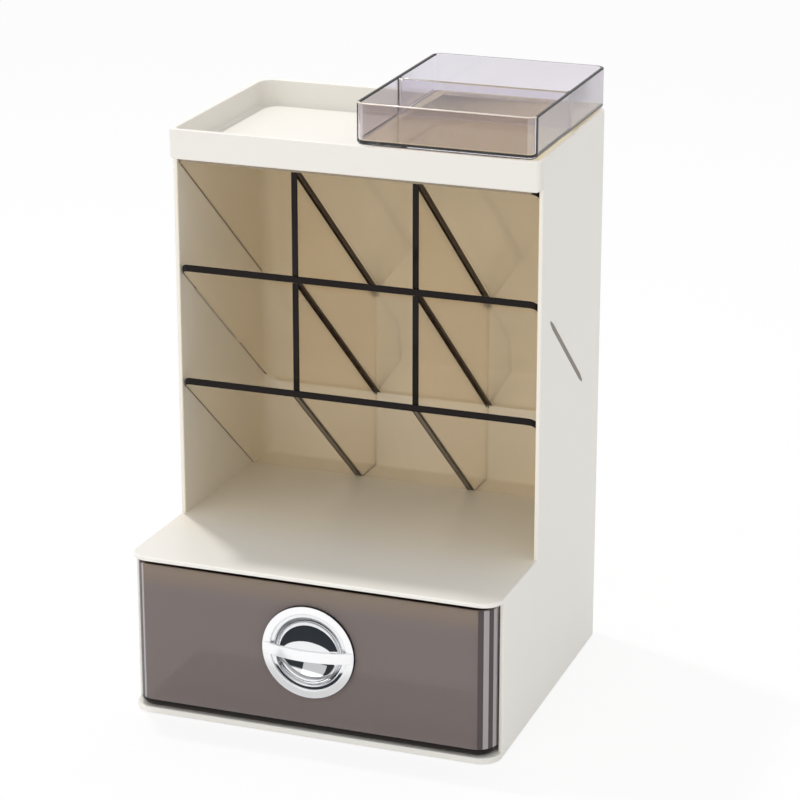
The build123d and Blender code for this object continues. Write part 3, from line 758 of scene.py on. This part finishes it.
# Copies of the box's plastic tinted as painted shade, for the floor, the front and the right side.
box_plastic = clear_plastic("clear_box", BOX_TINT, 0.02)
box_floor_shaded = clear_plastic("clear_box_floor_shaded", BOX_FLOOR_SHADE_TINT, 0.05)
box_front_shaded = clear_plastic("clear_box_front_shaded", BOX_FRONT_SHADE_TINT, 0.02)
box_side_shaded = clear_plastic("clear_box_side_shaded", BOX_SIDE_SHADE_TINT, 0.02)
box_rim_highlight = moulded("box_front_rim_highlight", BOX_FRONT_RIM_HIGHLIGHT, 0.1, 0.1, 0.1, 900, 0.02 * MM)
BODY, FLOOR, RIM_HIGHLIGHT, DARK, FRONT, RIGHT = range(6)
box_materials = (
    box_plastic, box_floor_shaded, box_rim_highlight, smoke_edge_and_painted_dark, box_front_shaded, box_side_shaded
)

box_bm = merged_copy("sliding_box")
box_low, box_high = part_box("sliding_box")
rim_front = box_low.y + RIM_TURN
rim_back = box_high.y - RIM_TURN
rim_foot = box_high.z - BOX_RIM_DEPTH
floor_limit = box_high.z - BOX_HEIGHT + BOX_FLOOR + BOX_RIM_DEPTH
dark_from, dark_to = (box_low.x + distance for distance in BOX_PAINTED_SHADE_STRIP)
for y in (rim_front, rim_back):
    cut(box_bm, Vector((0, y, 0)), Vector((0, 1, 0)))
cut(box_bm, Vector((0, 0, rim_foot)), Vector((0, 0, 1)))
cut(box_bm, Vector((dark_to, 0, 0)), Vector((1, 0, 0)))
for face in box_bm.faces:
    place = face.calc_center_median()
    # Painted highlight on the front rim's top. The side rims take the dark edge colour.
    if place.z > rim_foot:
        if rim_front < place.y < rim_back:
            face.material_index = DARK
        elif place.y < rim_back:
            face.material_index = RIM_HIGHLIGHT if abs(face.normal.z) > RIM_TILT else FRONT
        else:
            face.material_index = BODY
    # Painted shade: the floor, the front wall and the right wall take darker, browner copies of the
    # plastic.
    elif abs(face.normal.z) > FLAT and place.z < floor_limit:
        # Painted shade: a dark strip on the floor beside the left wall.
        beside_wall = dark_from < place.x < dark_to
        face.material_index = DARK if beside_wall and face.normal.z > 0 else FLOOR
    elif abs(face.normal.y) > FLAT and place.y < box_low.y + BOX_WALL:
        face.material_index = FRONT
    elif abs(face.normal.x) > FLAT and box_high.x - place.x < BOX_WALL:
        face.material_index = RIGHT
finish_piece(box_bm, "clear_sliding_box", "box", box_materials, ["sliding_box"])

wall_bm = merged_copy("box_divider")
for face in wall_bm.faces:
    if abs(face.normal.x) > FLAT:
        face.material_index = 1
wall_materials = (box_plastic, smoke_edge_and_painted_dark)
finish_piece(wall_bm, "clear_box_divider", "divider", wall_materials, ["box_divider"])


# ---- Screws and foot pads -------------------------------------------------------------------------
# Two button-head screws with a hexagon socket hold the knob from inside the drawer. Four soft rubber
# discs with a rounded rim and a pressed ring are set into recesses under the base plate.
SCREW_HEAD_RADIUS = 2.5
SCREW_HEAD_HEIGHT = 1.6
SCREW_SHANK_RADIUS = 1.1
SOCKET_RADIUS = 1.3
SOCKET_DEPTH = 0.9
SOCKET_DRAFT = 0.05
HEAD_ROUND = 0.7
SMALL_TURN_STEPS = 60
HEXAGON_SIDE = 60           # degrees
TOUCH = 0.01                # tells the socket from the rest of the head
screw_low, screw_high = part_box("knob_screws")
head_top = (screw_high.y - screw_low.y) / MM
head_foot = head_top - SCREW_HEAD_HEIGHT
steel = moulded("screw_steel", (0.6, 0.6, 0.6), 0.1, 0.25, 0.15, 1200, 0.02 * MM, metallic=1)
screws_bm = bmesh.new()
screw_mesh = bpy.data.meshes.new("one_screw")
for side in (-1, 1):
    screw_bm = turned([
        (0, 0),
        (SCREW_SHANK_RADIUS, 0),
        (SCREW_SHANK_RADIUS, head_foot),
        (SCREW_HEAD_RADIUS, head_foot),
        *round_corner(SCREW_HEAD_RADIUS - HEAD_ROUND, head_top - HEAD_ROUND, HEAD_ROUND, 0, 90),
        (SOCKET_RADIUS, head_top),
        (SOCKET_RADIUS - SOCKET_DRAFT, head_top - SOCKET_DEPTH),
        (0, head_top - SOCKET_DEPTH),
    ], closed=False, steps=SMALL_TURN_STEPS)
    for vert in screw_bm.verts:
        in_socket = math.hypot(vert.co.x, vert.co.z) < SOCKET_RADIUS + TOUCH
        if in_socket and vert.co.y > head_foot:
            turn = math.degrees(math.atan2(vert.co.z, vert.co.x)) % HEXAGON_SIDE - HEXAGON_SIDE / 2
            flat = math.cos(math.radians(HEXAGON_SIDE / 2)) / math.cos(math.radians(turn))
            vert.co.x *= flat
            vert.co.z *= flat
    screw_height = (screw_low.z + screw_high.z) / 2
    seat(screw_bm, Vector((side * SCREW_CIRCLE * MM, screw_low.y, screw_height)))
    screw_bm.to_mesh(screw_mesh)
    screws_bm.from_mesh(screw_mesh)
    screw_bm.free()
bpy.data.meshes.remove(screw_mesh)
finish_piece(screws_bm, "socket_screws", "drawer", (steel,), ["knob_screws"])

rubber = moulded("pad_rubber", (0.62, 0.61, 0.58), 0.05, 0.8, 0.1, 800, 0.05 * MM)
PAD_ROUND = 0.5
PAD_GROOVE_RADIUS = 4.2
PAD_GROOVE_HALF = 0.5
PAD_GROOVE_DEPTH = 0.3
for name in nodes:
    if not name.startswith("foot_pad"):
        continue
    pad_low, pad_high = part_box(name)
    pad_radius = (pad_high.x - pad_low.x) / 2 / MM
    pad_height = (pad_high.z - pad_low.z) / MM
    pad_bm = turned([
        (0, 0),
        (PAD_GROOVE_RADIUS - PAD_GROOVE_HALF, 0),
        (PAD_GROOVE_RADIUS, PAD_GROOVE_DEPTH),
        (PAD_GROOVE_RADIUS + PAD_GROOVE_HALF, 0),
        *round_corner(pad_radius - PAD_ROUND, PAD_ROUND, PAD_ROUND, -90, 0),
        (pad_radius, pad_height),
        (0, pad_height),
    ], axis=(0, 0, 1), closed=False, steps=SMALL_TURN_STEPS)
    pad_middle = (pad_low + pad_high) / 2
    seat(pad_bm, Vector((pad_middle.x, pad_middle.y, pad_low.z)))
    foot_name = name.replace("foot_pad", "rubber_foot")
    finish_piece(pad_bm, foot_name, "case", (rubber,), [name])
